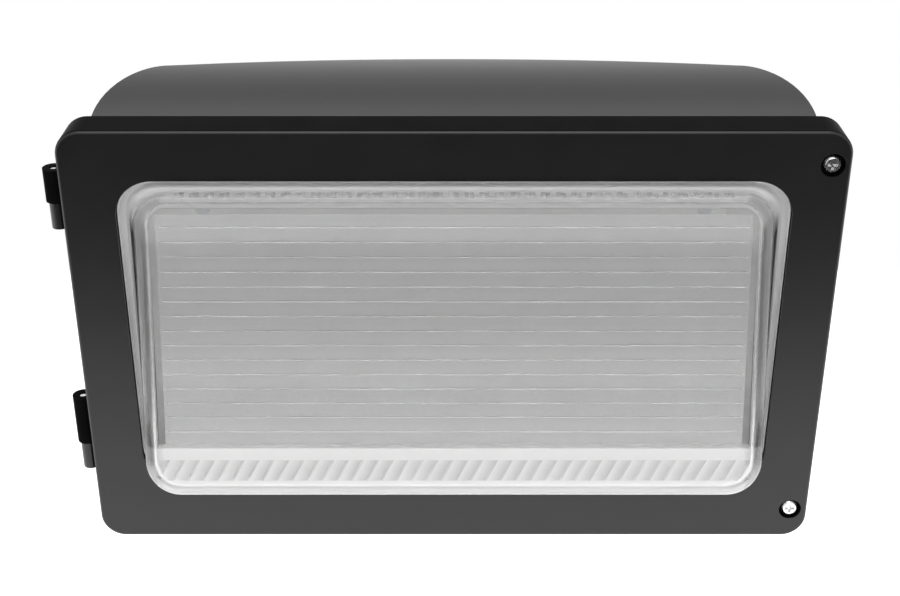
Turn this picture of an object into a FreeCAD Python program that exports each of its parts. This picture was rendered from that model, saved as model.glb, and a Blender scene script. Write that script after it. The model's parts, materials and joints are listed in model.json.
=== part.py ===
import FreeCAD, Part
import math
import os

V = FreeCAD.Vector

# ---------------------------------------------------------------------------
# A hinged wall pack light. Millimetres and degrees.
# Frame: +Z up, the wall is the plane y = 0, the light stands out along -Y, and
# the origin is the middle of the rear face.
# Most pieces follow the tilted door. They are drawn on the door's own axes:
# x to the right, y up the door, z out of the door's front face, with zero in
# the middle of that face. on_door() then leans them into place.
# ---------------------------------------------------------------------------

# door
DOOR_WIDTH = 362.0
DOOR_HEIGHT = 222.0
DOOR_TILT = 20.0
DOOR_DEPTH = 20.0
DOOR_CORNER = 12.0
DOOR_FACE = 4.0
DOOR_SKIRT = 3.5
DOOR_EDGE_ROUND = 1.6
DOOR_OUT = 152.0
DOOR_DROP = 27.0

# window in the door
SIDE_BAR = 24.7
TOP_BAR = 24.3
BOTTOM_BAR = 27.9
WINDOW_TOP_CORNER = 18.0
WINDOW_LOW_CORNER = 24.0

# housing
HOUSING_TOP = 112.75
HOUSING_BOTTOM_RISE = 3.4
HOUSING_DRAFT = 7.0
FORM_BEHIND = 10.0
HOUSING_WALL = 3.5
REAR_WALL = 4.0
TOP_FLAT = 88.0
TOP_CROWN = 3.75
CROWN_CLEAR = 1.0
TOP_CORNER = 28.0
LOW_CORNER = 22.0
MOUTH_FLANGE = 3.5
COLLAR_CORNER = 34.0
COLLAR_FRONT = 9.0

# glass refractor
LENS_WALL = 4.0
LENS_FLANGE = 4.0
LENS_LAP = 5.5
LENS_GAP = 1.8
LENS_SIDE_DRAW = 11.3
LENS_TOP_DROP = 4.5
LENS_TOP_OUT = 8.0
LENS_LOW_RISE = 28.3
LENS_LOW_OUT = 45.7
LENS_PANEL_TOP_CORNER = 14.0
LENS_PANEL_LOW_CORNER = 16.0
LENS_EDGE_ROUND = 6.0
LENS_INNER_ROUND = 2.8
RIB_PITCH = 6.93
RIB_WIDE = 0.8
RIB_CREST = 0.2
RIB_HIGH = 0.4
RIB_ROOT = 0.3
RIB_MARGIN = 10.5
RIB_LOW_MARGIN = 31.0
RIB_TOP_MARGIN = 13.0
FLUTE_PITCH = 7.0
FLUTE_WIDE = 5.4
FLUTE_HIGH = 1.3
FLUTE_SIDE_MARGIN = 18.0
FLUTE_END_MARGIN = 5.0
FLUTE_CLEAR = 1.0
SHEET_THICK = 1.2
SHEET_LOW_MARGIN = 23.2
SHEET_LOW_INSET = 9.3

# gaskets and clips
LENS_GASKET = 1.6
LENS_GASKET_LIP = 0.4
GASKET_SPREAD = 0.75
GASKET_GAP = 0.3
GASKET_TO_BOSS = 0.55
CLIP_BOSS = 2.5
CLIP_BOSS_GAP = 0.4
CLIP_LONG = 24.0
CLIP_THICK = 1.2
CLIP_GRIP = 4.0
CLIP_SCREW = 1.4
CLIP_SCREW_BITE = 0.6
CLIP_SCREW_HEAD = 2.4
CLIP_SCREW_HEAD_HIGH = 1.4
CLIP_AT_X = 92.0

# hinges
HINGE_OUT = 4.5
HINGE_BACK = 12.0
PIN_RADIUS = 1.9
PIN_PLAY = 0.05
DOOR_KNUCKLE = 5.2
HOUSING_KNUCKLE = 4.0
KNUCKLE_GAP = 0.4
WEB_SHORT = 0.7
WEB_HALF = 4.4
HINGE_FROM_TOP = 38.9
HINGE_FROM_BOTTOM = 51.3
DOOR_KNUCKLE_LONG = {"upper": 16.4, "lower": 26.1}
HOUSING_KNUCKLE_LONG = {"upper": 13.1, "lower": 15.0}
PIN_CHAMFER = 0.4
PIN_SHORT = 0.5
STEM_IN = 3.3
STEM_FLAT = 2.4
ARM_BACK = 8.0
ARM_GAP = 0.6
ARM_ROOT = 5.0

# captive door screws
SCREW_IN_FROM_SIDE = 8.7
SCREW_IN_FROM_END = 16.6
SCREW_RADIUS = 2.5
SCREW_PLAY = 0.5
SCREW_HEAD = 4.45
SCREW_HEAD_HIGH = 2.6
SCREW_SINK = 3.2
SCREW_RING = 5.65
SCREW_TRAVEL = 4.0
SCREW_ENGAGED = 3.8
SCREW_BOSS = 7.5
SCREW_BOSS_BACK = 8.5
RETAINER = 4.2
RETAINER_THICK = 0.8
RETAINER_PLAY = 0.06
RETAINER_CLEAR = 0.5
LUG = 4.5
LUG_ROOT = 15.0
LUG_HOLE_PLAY = 0.35
RECESS_WIDE = 1.3
RECESS_LONG = 4.6
RECESS_DEEP = 1.5

# gear plate, reflector and LED boards
PLATE_BACK = 38.0
PLATE_THICK = 2.5
PLATE_MARGIN = 6.0
PLATE_EDGE = 2.0
PLATE_CORNER = 8.0
TRAY_THICK = 1.0
TRAY_SIDE_GAP = 17.5
TRAY_TOP_GAP = 15.0
TRAY_LOW_GAP = 19.0
TRAY_CLEAR = 2.3
TRAY_FLARE_SIDE = 17.0
TRAY_FLARE_TOP = 14.0
TRAY_FLARE_LOW = 16.0
TRAY_CORNER = 16.0
BOARD_LONG = 214.0
BOARD_WIDE = 26.0
BOARD_THICK = 1.6
BOARD_AT = (27.0, -19.0)
BOARD_WINDOW_GAP = 1.0
LED_SIZE = 3.5
LED_HIGH = 0.8
LED_COUNT = 14
POST_RADIUS = 5.0
POST_IN = 12.0
PLATE_SCREW = 2.0
PLATE_SCREW_HEAD = 4.0
PLATE_SCREW_HEAD_HIGH = 2.2
PLATE_SCREW_BITE = 8.0
SCREW_FIT = 0.05
PAN_RIM = 0.45

# driver and wiring
DRIVER_LONG = 122.0
DRIVER_WIDE = 52.0
DRIVER_HIGH = 32.0
DRIVER_ROUND = 4.0
DRIVER_AT_X = -6.0
DRIVER_TAB = 14.0
DRIVER_TAB_THICK = 2.0
DRIVER_SCREW_CLEAR = 0.5
SURGE_RADIUS = 16.0
SURGE_HIGH = 22.0
SURGE_CHAMFER = 2.0
SURGE_FROM_EDGE = 56.0
SURGE_AT_Y = -36.0
BLOCK_LONG = 42.0
BLOCK_WIDE = 20.0
BLOCK_HIGH = 17.0
BLOCK_FROM_EDGE = 56.0
BLOCK_AT_Y = -36.0
BLOCK_WAYS = 3
BLOCK_WELL = 1.9
BLOCK_WELL_DEEP = 6.0
BLOCK_WIRE = 1.7
BLOCK_WIRE_DEEP = 8.0
BLOCK_WIRE_UP = 6.0
SMALL_SCREW = 1.5
SMALL_SCREW_HEAD = 3.0
SMALL_SCREW_HEAD_HIGH = 1.6

# conduit entries and wall fixing
CONDUIT_HOLE = 10.5
CONDUIT_BOSS = 16.0
CONDUIT_BOSS_OUT = 3.5
CONDUIT_BOSS_DEEP = 12.0
CONDUIT_Y = -52.0
CONDUIT_Z = -8.0
PLUG_HEAD = 13.5
PLUG_HEAD_HIGH = 3.0
PLUG_SHANK_LONG = 9.0
PLUG_CHAMFER = 1.2
PLUG_SLOT = 2.2
PLUG_SLOT_DEEP = 1.8
PLUG_FIT = 0.1
WIRE_ENTRY = 11.1
WIRE_ENTRY_Z = -45.0
BOX_HOLE = 2.6
BOX_HOLE_SPACING = 88.9
WALL_HOLE = 3.3
WALL_HOLE_SPACING_X = 254.0
WALL_HOLE_SPACING_Z = 152.4
GROUND_X = 74.0
GROUND_BOSS = 4.5
GROUND_BOSS_LONG = 8.0
GROUND_SCREW = 2.0
GROUND_SCREW_LONG = 5.0
GROUND_SCREW_HEAD = 4.2
GROUND_SCREW_HEAD_HIGH = 3.0

# what follows from them
HALF_W = DOOR_WIDTH / 2
HALF_H = DOOR_HEIGHT / 2
TILT_SIN = math.sin(math.radians(DOOR_TILT))
TILT_COS = math.cos(math.radians(DOOR_TILT))
WINDOW_HALF = HALF_W - SIDE_BAR
WINDOW_HIGH = HALF_H - TOP_BAR
WINDOW_LOW = -HALF_H + BOTTOM_BAR
CLIP_REACH = LENS_LAP + CLIP_BOSS_GAP + CLIP_BOSS
SEAL_STACK = CLIP_REACH + CLIP_BOSS + GASKET_TO_BOSS + GASKET_SPREAD + HOUSING_WALL
HOUSING_HALF = WINDOW_HALF + SEAL_STACK
COLLAR_HIGH = WINDOW_HIGH + SEAL_STACK
HOUSING_LOW = DOOR_DROP + COLLAR_HIGH * TILT_COS - DOOR_DEPTH * TILT_SIN - HOUSING_BOTTOM_RISE
HINGE_X = -HALF_W - HINGE_OUT
HINGE_JOINTS = {"upper": HALF_H - HINGE_FROM_TOP, "lower": -HALF_H + HINGE_FROM_BOTTOM}
SCREW_X = HALF_W - SCREW_IN_FROM_SIDE
SCREW_Y = HALF_H - SCREW_IN_FROM_END
SCREW_FACE = -SCREW_SINK
RETAINER_FRONT = -SCREW_BOSS_BACK - SCREW_TRAVEL
LUG_FRONT = RETAINER_FRONT - RETAINER_THICK - RETAINER_CLEAR
SCREW_TIP = LUG_FRONT - SCREW_ENGAGED
LENS_BACK = -DOOR_FACE - LENS_GASKET - LENS_FLANGE
LENS_PANEL_HALF = WINDOW_HALF - LENS_SIDE_DRAW
RIB_HALF = LENS_PANEL_HALF - RIB_MARGIN
LENS_INNER_CORNER = LENS_PANEL_TOP_CORNER - LENS_WALL
SHEET_TOP_INSET = LENS_WALL + LENS_INNER_CORNER * (1 - math.sqrt(0.5)) + LENS_INNER_ROUND / 2
PLATE_REAR = -PLATE_BACK - PLATE_THICK
TRAY_FLOOR = -PLATE_BACK + TRAY_THICK
TRAY_FRONT = LENS_BACK - CLIP_THICK - CLIP_SCREW_HEAD_HIGH - TRAY_CLEAR
TRAY_MOUTH_HALF = HOUSING_HALF - HOUSING_WALL - TRAY_SIDE_GAP
TRAY_MOUTH_HIGH = COLLAR_HIGH - HOUSING_WALL - TRAY_TOP_GAP
TRAY_MOUTH_LOW = COLLAR_HIGH - HOUSING_WALL - TRAY_LOW_GAP
TRAY_FLOOR_HALF = TRAY_MOUTH_HALF - TRAY_FLARE_SIDE
TRAY_FLOOR_HIGH = TRAY_MOUTH_HIGH - TRAY_FLARE_TOP
TRAY_FLOOR_LOW = TRAY_MOUTH_LOW - TRAY_FLARE_LOW
PLATE_HALF = TRAY_FLOOR_HALF + PLATE_MARGIN
PLATE_HIGH = TRAY_FLOOR_HIGH + PLATE_EDGE
PLATE_LOW = TRAY_FLOOR_LOW + PLATE_EDGE
SURGE_AT_X = PLATE_HALF - SURGE_FROM_EDGE
BLOCK_AT_X = BLOCK_FROM_EDGE - PLATE_HALF
POST_AT_X = TRAY_FLOOR_HALF - POST_IN
POST_AT_HIGH = TRAY_FLOOR_HIGH - POST_IN
POST_AT_LOW = -TRAY_FLOOR_LOW + POST_IN
DRIVER_AT_Y = sum(BOARD_AT) / len(BOARD_AT)


# ---------------------------------------------------------------------------
# placing and drawing helpers
# ---------------------------------------------------------------------------

def leaned(shape, place):
    """A copy carried by a placement, on top of where it already is."""
    placed = shape.copy()
    placed.Placement = place.multiply(shape.Placement)
    return placed


def on_door(shape):
    """Lean a shape drawn on the door's axes into its place in front of the wall."""
    spot = V(0, -DOOR_OUT, -DOOR_DROP)
    return leaned(shape, FreeCAD.Placement(spot, FreeCAD.Rotation(V(1, 0, 0), 90 + DOOR_TILT)))


def from_wall(shape):
    """Stand up a shape drawn as seen from the front, with its z as the distance out from the wall."""
    return leaned(shape, FreeCAD.Placement(V(0, 0, 0), FreeCAD.Rotation(V(1, 0, 0), 90)))


def door_point(y, z):
    """World (y, z) of a point given up the door and out of its face."""
    return (
        -DOOR_OUT - y * TILT_SIN - z * TILT_COS,
        -DOOR_DROP + y * TILT_COS - z * TILT_SIN,
    )


def arc_point(cx, cy, radius, angle, z):
    """A point on a circle, by its angle in degrees."""
    turn = math.radians(angle)
    return V(cx + radius * math.cos(turn), cy + radius * math.sin(turn), z)


def corner_arc(cx, cy, radius, start, z):
    """A quarter circle from the start angle."""
    return Part.Arc(
        arc_point(cx, cy, radius, start, z),
        arc_point(cx, cy, radius, start + 45, z),
        arc_point(cx, cy, radius, start + 90, z),
    ).toShape()


def outline(half, low, high, low_corner, high_corner, z=0.0, crown=0.0):
    """A rounded rectangle from low to high, whose top may rise by crown in the middle."""
    side_high = high - crown
    right_low = corner_arc(half - low_corner, low + low_corner, low_corner, -90, z)
    right_high = corner_arc(half - high_corner, side_high - high_corner, high_corner, 0, z)
    left_high = corner_arc(-half + high_corner, side_high - high_corner, high_corner, 90, z)
    left_low = corner_arc(-half + low_corner, low + low_corner, low_corner, 180, z)
    ends = [
        V(-half + low_corner, low, z), V(half - low_corner, low, z),
        V(half, low + low_corner, z), V(half, side_high - high_corner, z),
        V(half - high_corner, side_high, z), V(-half + high_corner, side_high, z),
        V(-half, side_high - high_corner, z), V(-half, low + low_corner, z),
    ]
    if crown:
        top = Part.Arc(ends[4], V(0, high, z), ends[5]).toShape()
    else:
        top = Part.makeLine(ends[4], ends[5])
    return Part.Wire([
        Part.makeLine(ends[0], ends[1]), right_low,
        Part.makeLine(ends[2], ends[3]), right_high,
        top, left_high,
        Part.makeLine(ends[6], ends[7]), left_low,
    ])


def prism(wire, depth):
    """The wire's face pushed along z by depth."""
    return Part.Face(wire).extrude(V(0, 0, depth))


def slab(half, low, high, corner, back, front):
    """A plate with rounded corners between two depths."""
    return prism(outline(half, low, high, corner, corner, back), front - back)


def block(x0, x1, y0, y1, z0, z1):
    """A box by its two corners."""
    return Part.makeBox(x1 - x0, y1 - y0, z1 - z0, V(x0, y0, z0))


def rod(x, y, z0, z1, radius):
    """A cylinder along z."""
    return Part.makeCylinder(radius, z1 - z0, V(x, y, z0))


def fused(shapes):
    """One solid out of several that overlap."""
    whole = shapes[0].fuse(shapes[1:])
    return whole.removeSplitter()


def pan_screw(radius, long, head, head_high):
    """A pan head screw along z, its head's underside at zero and its shank below it."""
    rim = head_high * PAN_RIM
    profile = Part.Face(Part.makePolygon([
        V(0, 0, -long), V(radius, 0, -long), V(radius, 0, 0), V(head, 0, 0),
        V(head, 0, head_high - rim), V(head - rim, 0, head_high), V(0, 0, head_high), V(0, 0, -long),
    ]))
    return profile.revolve(V(0, 0, 0), V(0, 0, 1), 360)


def hex_prism(radius, low, high):
    """A six-sided prism along z, by its corner radius."""
    face = Part.Face(Part.makePolygon([arc_point(0, 0, radius, 60 * step, low) for step in range(7)]))
    return face.extrude(V(0, 0, high - low))


def hex_screw(radius, long, head, head_high):
    """A small hex head screw along z, its head's underside at zero and a plain six-sided shank below."""
    return fused([hex_prism(head, 0, head_high), hex_prism(radius, -long, 0)])


def cross_recess():
    """The cross recess of a door screw, above the head's underside."""
    arm = block(
        -RECESS_LONG / 2, RECESS_LONG / 2, -RECESS_WIDE / 2, RECESS_WIDE / 2,
        SCREW_HEAD_HIGH - RECESS_DEEP, SCREW_HEAD_HIGH + 1,
    )
    turned = arm.copy()
    turned.rotate(V(0, 0, 0), V(0, 0, 1), 90)
    return fused([arm, turned])


def moved(shape, x, y, z):
    """A copy shifted by the three distances."""
    placed = shape.copy()
    placed.translate(V(x, y, z))
    return placed


# ---------------------------------------------------------------------------
# housing
# ---------------------------------------------------------------------------

def side_profile(inset, rear, mouth):
    """The housing seen from the side: level top, round shoulder down to the door, nearly level bottom.
    inset shrinks it by the wall, rear is its back and mouth is its front on the door's axis."""
    top_y, top_z = door_point(COLLAR_HIGH, -DOOR_DEPTH)
    level = HOUSING_TOP + CROWN_CLEAR
    run = -TOP_FLAT - top_y
    drop = level - top_z
    radius = (run * run + drop * drop) / (2 * drop)
    centre = V(0, -TOP_FLAT, level - radius)
    turn = math.asin(run / radius)
    inner = radius - inset
    start = V(0, -TOP_FLAT, level - inset)
    middle = centre + V(0, -inner * math.sin(turn / 2), inner * math.cos(turn / 2))
    end = centre + V(0, -inner * math.sin(turn), inner * math.cos(turn))
    brow = V(0, *door_point(COLLAR_HIGH - inset, mouth))
    sill = V(0, *door_point(-COLLAR_HIGH + inset, mouth))
    heel = V(0, -rear, -HOUSING_LOW + inset)
    crest = V(0, -rear, level - inset)
    edges = [Part.makeLine(crest, start), Part.Arc(start, middle, end).toShape()]
    if (brow - end).Length > 0.01:
        edges.append(Part.makeLine(end, brow))
    edges += [Part.makeLine(brow, sill), Part.makeLine(sill, heel), Part.makeLine(heel, crest)]
    face = Part.Face(Part.Wire(edges))
    face.translate(V(-DOOR_WIDTH, 0, 0))
    return face.extrude(V(2 * DOOR_WIDTH, 0, 0))


def front_form(inset):
    """The housing seen from the front, with its sides drawing in towards the wall."""
    reach = DOOR_OUT + DOOR_HEIGHT * TILT_SIN
    low = door_point(-COLLAR_HIGH, -DOOR_DEPTH)[1] - CROWN_CLEAR + inset
    wires = []
    for depth in (-FORM_BEHIND, reach):
        half = HOUSING_HALF - HOUSING_DRAFT * (1 - depth / reach) - inset
        wires.append(outline(
            half, low, HOUSING_TOP - inset, LOW_CORNER - inset, TOP_CORNER - inset, depth, TOP_CROWN,
        ))
    return from_wall(Part.makeLoft(wires, True, True))


def collar(inset, back, front):
    """The rim that reaches forward inside the door's skirt."""
    return prism(
        outline(
            HOUSING_HALF - inset, -COLLAR_HIGH + inset, COLLAR_HIGH - inset,
            COLLAR_CORNER - inset, COLLAR_CORNER - inset, back,
        ),
        front - back,
    )


def housing_shell():
    """The hollow casting: outer form, cavity, mouth flange and collar."""
    outer = side_profile(0.0, 0.0, -DOOR_DEPTH).common(front_form(0.0))
    flange_back = -DOOR_DEPTH - MOUTH_FLANGE
    cavity = side_profile(HOUSING_WALL, REAR_WALL, flange_back).common(front_form(HOUSING_WALL))
    rim = on_door(collar(0.0, flange_back, -COLLAR_FRONT))
    mouth = on_door(collar(HOUSING_WALL, flange_back - HOUSING_WALL, 0.0))
    return fused([outer, rim]).cut(cavity).cut(mouth)


def housing_knuckle(which):
    """A hinge barrel on the housing, with the arm that carries it round behind the door's skirt."""
    top = HINGE_JOINTS[which]
    low = top - HOUSING_KNUCKLE_LONG[which]
    axis_z = -HINGE_BACK
    back = -DOOR_DEPTH - ARM_BACK
    barrel = Part.makeCylinder(HOUSING_KNUCKLE, top - low, V(HINGE_X, low, axis_z), V(0, 1, 0))
    inner_x = HINGE_X + STEM_IN
    stem = block(HINGE_X - HOUSING_KNUCKLE, inner_x, low, top, back, axis_z)
    flat = block(HINGE_X, inner_x, low, top, axis_z, axis_z + STEM_FLAT)
    arm = block(HINGE_X, -HOUSING_HALF + ARM_ROOT, low, top, back, -DOOR_DEPTH - ARM_GAP)
    bored = fused([barrel, stem, flat, arm]).cut(
        Part.makeCylinder(PIN_RADIUS, top - low + 2, V(HINGE_X, low - 1, axis_z), V(0, 1, 0))
    )
    return on_door(bored)


def housing_lug(side):
    """An ear at a right-hand corner that takes a captive door screw."""
    y = side * SCREW_Y
    back = -DOOR_DEPTH - MOUTH_FLANGE
    ear = rod(SCREW_X, y, back, LUG_FRONT, LUG)
    web = block(HOUSING_HALF - LUG_ROOT, SCREW_X, y - LUG, y + LUG, back, LUG_FRONT)
    hole = rod(SCREW_X, y, SCREW_TIP - 1.0, LUG_FRONT + 1, SCREW_RADIUS + LUG_HOLE_PLAY)
    return on_door(fused([ear, web]).cut(hole))


def post_spots():
    """Where the gear plate's four posts stand."""
    return [(x, y) for x in (-POST_AT_X, POST_AT_X) for y in (POST_AT_LOW, POST_AT_HIGH)]


def housing_post(x, y):
    """A cast post from the rear wall up to the gear plate, with its screw hole."""
    reach = DOOR_OUT + DOOR_HEIGHT
    post = rod(x, y, -reach, PLATE_REAR, POST_RADIUS)
    hole = rod(x, y, PLATE_REAR - PLATE_SCREW_BITE - 1.0, PLATE_REAR + 1, PLATE_SCREW + SCREW_FIT)
    room = Part.makeBox(3 * reach, reach, 3 * reach, V(-1.5 * reach, -reach - REAR_WALL / 2, -1.5 * reach))
    return on_door(post.cut(hole)).common(room)


def conduit_spots():
    """Each conduit entry: a point on its outer face and the way out of it."""
    inward = HOUSING_HALF - HOUSING_DRAFT
    return {
        "left": (V(-inward - CONDUIT_BOSS_OUT, CONDUIT_Y, CONDUIT_Z), V(-1, 0, 0)),
        "right": (V(inward + CONDUIT_BOSS_OUT, CONDUIT_Y, CONDUIT_Z), V(1, 0, 0)),
        "bottom": (V(0, CONDUIT_Y, -HOUSING_LOW - CONDUIT_BOSS_OUT), V(0, 0, -1)),
    }


def wall_hole_spots():
    """The four wall fixing holes, as x and z."""
    return [
        (x * WALL_HOLE_SPACING_X / 2, z * WALL_HOLE_SPACING_Z / 2)
        for x in (-1, 1) for z in (-1, 1)
    ]


def make_back_housing():
    """The cast back housing with everything that is part of the casting."""
    pieces = [housing_shell()]
    pieces += [housing_knuckle(which) for which in HINGE_JOINTS]
    pieces += [housing_lug(side) for side in (-1, 1)]
    pieces += [housing_post(x, y) for x, y in post_spots()]
    cuts = []
    for face, out in conduit_spots().values():
        long = CONDUIT_BOSS_OUT + CONDUIT_BOSS_DEEP
        pieces.append(Part.makeCylinder(CONDUIT_BOSS, long, face, out * -1))
        cuts.append(Part.makeCylinder(CONDUIT_HOLE, long + 2, face + out, out * -1))
    rear = V(0, 1, 0)
    holes = [(x, z, WALL_HOLE) for x, z in wall_hole_spots()]
    holes += [(x * BOX_HOLE_SPACING / 2, WIRE_ENTRY_Z, BOX_HOLE) for x in (-1, 1)]
    holes.append((0, WIRE_ENTRY_Z, WIRE_ENTRY))
    for x, z, radius in holes:
        cuts.append(Part.makeCylinder(radius, REAR_WALL + 2, V(x, -REAR_WALL - 1, z), rear))
    boss_face = V(GROUND_X, -REAR_WALL - GROUND_BOSS_LONG, WIRE_ENTRY_Z)
    pieces.append(Part.makeCylinder(GROUND_BOSS, GROUND_BOSS_LONG + REAR_WALL / 2, boss_face, rear))
    cuts.append(Part.makeCylinder(GROUND_SCREW + SCREW_FIT, GROUND_BOSS_LONG - 1, boss_face - rear, rear))
    return fused(pieces).cut(fused(cuts))


def make_conduit_plug(which):
    """A slotted close-up plug, screwed into a conduit entry."""
    face, out = conduit_spots()[which]
    head = Part.makeCylinder(PLUG_HEAD, PLUG_HEAD_HIGH, face, out)
    head = head.makeChamfer(PLUG_CHAMFER, [edge for edge in head.Edges if far_ring(edge, face, out)])
    shank = Part.makeCylinder(CONDUIT_HOLE - PLUG_FIT, PLUG_SHANK_LONG, face, out * -1)
    slot = block(
        -PLUG_HEAD, PLUG_HEAD, -PLUG_SLOT / 2, PLUG_SLOT / 2,
        PLUG_HEAD_HIGH - PLUG_SLOT_DEEP, PLUG_HEAD_HIGH + 1,
    )
    slot = leaned(slot, FreeCAD.Placement(face, FreeCAD.Rotation(V(0, 0, 1), out)))
    return fused([head, shank]).cut(slot)


def far_ring(edge, face, out):
    """True for the circle round a plug head's outer end."""
    away = (edge.BoundBox.Center - face).dot(out)
    return away > PLUG_HEAD_HIGH / 2 and isinstance(edge.Curve, Part.Circle)


def make_ground_screw():
    """The hex-head grounding screw in its boss on the rear wall."""
    whole = hex_screw(GROUND_SCREW, GROUND_SCREW_LONG, GROUND_SCREW_HEAD, GROUND_SCREW_HEAD_HIGH)
    return from_wall(moved(whole, GROUND_X, WIRE_ENTRY_Z, REAR_WALL + GROUND_BOSS_LONG))


# ---------------------------------------------------------------------------
# door
# ---------------------------------------------------------------------------

def window_outline(grow, z):
    """The window's outline, grown or shrunk all round."""
    return outline(
        WINDOW_HALF + grow, WINDOW_LOW - grow, WINDOW_HIGH + grow,
        WINDOW_LOW_CORNER + grow, WINDOW_TOP_CORNER + grow, z,
    )


def clip_spots():
    """Each lens clip: the middle of its boss and the way in towards the lens."""
    spots = []
    for x in (-CLIP_AT_X, CLIP_AT_X):
        spots.append((x, WINDOW_HIGH + CLIP_REACH, -90))
        spots.append((x, WINDOW_LOW - CLIP_REACH, 90))
    spots.append((-WINDOW_HALF - CLIP_REACH, 0.0, 0))
    spots.append((WINDOW_HALF + CLIP_REACH, 0.0, 180))
    return spots


def screw_spots():
    """The two captive screws, as x and y on the door."""
    return {"upper": (SCREW_X, SCREW_Y), "lower": (SCREW_X, -SCREW_Y)}


def door_knuckle(which):
    """A hinge barrel on the door, with the web that joins it to the skirt."""
    low = HINGE_JOINTS[which] + KNUCKLE_GAP
    long = DOOR_KNUCKLE_LONG[which]
    barrel = Part.makeCylinder(DOOR_KNUCKLE, long, V(HINGE_X, low, -HINGE_BACK), V(0, 1, 0))
    web = block(
        HINGE_X, -HALF_W + DOOR_SKIRT - WEB_SHORT, low, low + long,
        -HINGE_BACK - WEB_HALF, -HINGE_BACK + WEB_HALF,
    )
    return fused([barrel, web])


def make_door_frame():
    """The cast door: a deep skirted frame round the window, with knuckles and bosses."""
    tray = slab(HALF_W, -HALF_H, HALF_H, DOOR_CORNER, -DOOR_DEPTH, 0.0)
    rim = [edge for edge in tray.Edges if edge.BoundBox.ZMin > -0.01]
    tray = tray.makeFillet(DOOR_EDGE_ROUND, rim)
    hollow = slab(
        HALF_W - DOOR_SKIRT, -HALF_H + DOOR_SKIRT, HALF_H - DOOR_SKIRT,
        DOOR_CORNER - DOOR_SKIRT, -DOOR_DEPTH - 1, -DOOR_FACE,
    )
    pieces = [tray.cut(hollow)]
    cuts = [prism(window_outline(0.0, -DOOR_FACE - 1), DOOR_FACE + 2)]
    inside = slab(HALF_W - 1, -HALF_H + 1, HALF_H - 1, DOOR_CORNER - 1, -DOOR_DEPTH, -1.0)
    for x, y in screw_spots().values():
        pieces.append(rod(x, y, -SCREW_BOSS_BACK, -DOOR_FACE / 2, SCREW_BOSS).common(inside))
        cuts.append(rod(x, y, -SCREW_SINK, 1, SCREW_RING))
        cuts.append(rod(x, y, -SCREW_BOSS_BACK - 1, 0, SCREW_RADIUS + SCREW_PLAY))
    for x, y, _ in clip_spots():
        pieces.append(rod(x, y, LENS_BACK, -DOOR_FACE / 2, CLIP_BOSS))
        cuts.append(rod(x, y, LENS_BACK - 1, -DOOR_FACE + CLIP_SCREW_BITE, CLIP_SCREW + SCREW_FIT))
    for which in HINGE_JOINTS:
        pieces.append(door_knuckle(which))
        cuts.append(Part.makeCylinder(
            PIN_RADIUS + PIN_PLAY, DOOR_KNUCKLE_LONG[which] + 4,
            V(HINGE_X, HINGE_JOINTS[which] - 1, -HINGE_BACK), V(0, 1, 0),
        ))
    return on_door(fused(pieces).cut(cuts))


def make_hinge_pin(which):
    """A steel pin, pressed into the housing's knuckle and free in the door's."""
    low = HINGE_JOINTS[which] - HOUSING_KNUCKLE_LONG[which]
    long = HOUSING_KNUCKLE_LONG[which] + KNUCKLE_GAP + DOOR_KNUCKLE_LONG[which] - PIN_SHORT
    pin = Part.makeCylinder(PIN_RADIUS, long, V(HINGE_X, low, -HINGE_BACK), V(0, 1, 0))
    pin = pin.makeChamfer(PIN_CHAMFER, [edge for edge in pin.Edges if isinstance(edge.Curve, Part.Circle)])
    return on_door(pin)


def make_door_screw(which):
    """A captive pan head screw with a cross recess."""
    x, y = screw_spots()[which]
    whole = pan_screw(SCREW_RADIUS, SCREW_FACE - SCREW_TIP, SCREW_HEAD, SCREW_HEAD_HIGH)
    return on_door(moved(whole.cut(cross_recess()), x, y, SCREW_FACE))


def make_retainer(which):
    """The ring that keeps a door screw in the door when it is undone."""
    x, y = screw_spots()[which]
    ring = rod(x, y, RETAINER_FRONT - RETAINER_THICK, RETAINER_FRONT, RETAINER)
    return on_door(ring.cut(rod(
        x, y, RETAINER_FRONT - RETAINER_THICK - 1, RETAINER_FRONT + 1, SCREW_RADIUS + RETAINER_PLAY,
    )))


def make_door_gasket():
    """The soft ring inside the door that the housing's collar presses on."""
    back = -COLLAR_FRONT + GASKET_GAP
    ring = collar(-GASKET_SPREAD, back, -DOOR_FACE)
    return on_door(ring.cut(collar(HOUSING_WALL + GASKET_SPREAD, back - 1, -DOOR_FACE + 1)))


# ---------------------------------------------------------------------------
# glass refractor and what holds it
# ---------------------------------------------------------------------------

def panel_ends():
    """The top and bottom edges of the glass's front panel, as (y, z) on the door."""
    top = (WINDOW_HIGH - LENS_TOP_DROP, LENS_TOP_OUT)
    low = (WINDOW_LOW + LENS_LOW_RISE, LENS_LOW_OUT)
    return top, low


def on_panel(shape):
    """Lean a shape drawn with y up the glass's front panel and z out of it, from the panel's bottom edge."""
    top, low = panel_ends()
    lean = math.degrees(math.atan2(low[1] - top[1], top[0] - low[0]))
    return leaned(shape, FreeCAD.Placement(V(0, low[0], low[1]), FreeCAD.Rotation(V(1, 0, 0), -lean)))


def panel_height():
    """The front panel's height along its own face."""
    top, low = panel_ends()
    return math.hypot(top[0] - low[0], low[1] - top[1])


def bowl(inset, edge_round):
    """The glass's bowl, or the hollow in it: the window's outline drawn out to the leaning front panel."""
    base = window_outline(-LENS_GAP - inset, LENS_BACK - inset)
    face = on_panel(outline(
        LENS_PANEL_HALF - inset, inset, panel_height() - inset,
        LENS_PANEL_LOW_CORNER - inset, LENS_PANEL_TOP_CORNER - inset, -inset,
    ))
    whole = Part.makeLoft([base, face], True, True)
    near = [edge for edge in whole.Edges if near_panel(edge, inset)]
    return whole.makeFillet(edge_round, near)


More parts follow.
